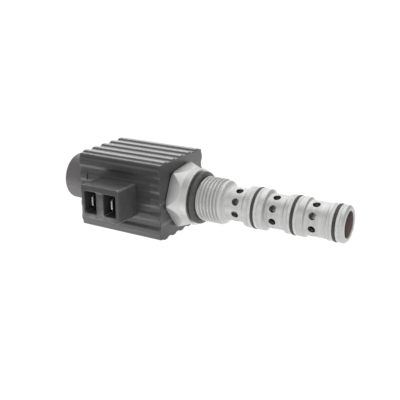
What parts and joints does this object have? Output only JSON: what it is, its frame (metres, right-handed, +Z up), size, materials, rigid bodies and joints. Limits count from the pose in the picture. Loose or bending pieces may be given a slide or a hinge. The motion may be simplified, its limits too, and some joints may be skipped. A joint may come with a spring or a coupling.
{
  "type": "cartridge valve",
  "caption": "Screw-in solenoid cartridge valve: sealed steel cage with rows of side ports and a nose port, hex adapter, and a ribbed coil held on its core tube by a round nut.",
  "frame": {"origin": "on the valve's axis, in the plane of the hex's front face, which seats on the manifold", "axes": "+X along the valve's axis towards the nose of the cage, +Z up, with the coil's connector facing -Y"},
  "size_m": [0.1526, 0.0545, 0.0396],
  "materials": {
    "zinc_steel": "satin zinc plate",
    "cage_steel": "turned, satin plate",
    "steel": "turned",
    "ground_steel": "hardened and ground",
    "spring_steel": "drawn wire",
    "nitrile": "moulded satin",
    "backup": "satin",
    "mould": "moulded satin",
    "cap": "moulded satin, finely knurled",
    "bobbin": "moulded",
    "copper": "enamelled wire",
    "tin": "bright tin plate",
    "brass": "rolled"
  },
  "bodies": {
    "valve_body": {"hex_adapter": "zinc_steel", "manifold_seal": "nitrile", "tube_seal": "nitrile", "cage": "cage_steel", "cage_seal_1": "nitrile", "backup_ring_1a": "backup", "backup_ring_1b": "backup", "cage_seal_2": "nitrile", "backup_ring_2a": "backup", "backup_ring_2b": "backup", "cage_seal_3": "nitrile", "backup_ring_3a": "backup", "backup_ring_3b": "backup", "nose_retaining_ring": "spring_steel", "core_tube": "steel", "pole_plug": "steel", "return_spring": "spring_steel"},
    "spool_armature": {"spool": "ground_steel", "armature_link": "steel", "armature": "steel", "residual_shim": "brass"},
    "coil": {"coil_mould": "mould", "connector_shroud": "mould", "coil_front_seal": "nitrile", "flux_washer_rear": "steel", "flux_washer_front": "steel", "flux_shell": "steel", "bobbin": "bobbin", "winding": "copper", "spade_terminal_rear": "tin", "spade_terminal_front": "tin"},
    "nut_carrier": {"nut_seal": "nitrile"},
    "coil_nut": {"coil_nut": "cap"}
  },
  "joints": [
    {"name": "spool_shift", "type": "slide", "parent": "valve_body", "child": "spool_armature", "axis": [-1, 0, 0], "range_m": [0, 0.0032], "stiffness_N_per_m": 4000, "springref_m": -0.004, "deforming": ["return_spring"]},
    {"name": "coil_swivel", "type": "hinge", "parent": "valve_body", "child": "coil", "pos_m": [0, 0, 0], "axis": [1, 0, 0], "continuous": true},
    {"name": "nut_travel", "type": "slide", "parent": "valve_body", "child": "nut_carrier", "axis": [-1, 0, 0], "range_m": [0, 0.006]},
    {"name": "nut_spin", "type": "hinge", "parent": "nut_carrier", "child": "coil_nut", "pos_m": [-0.0675, 0, 0], "axis": [-1, 0, 0], "range_deg": [0, 1440]}
  ],
  "couplings": [
    {"joint": "nut_spin", "follows": "nut_travel", "rad_per_m": 4188.8}
  ]
}
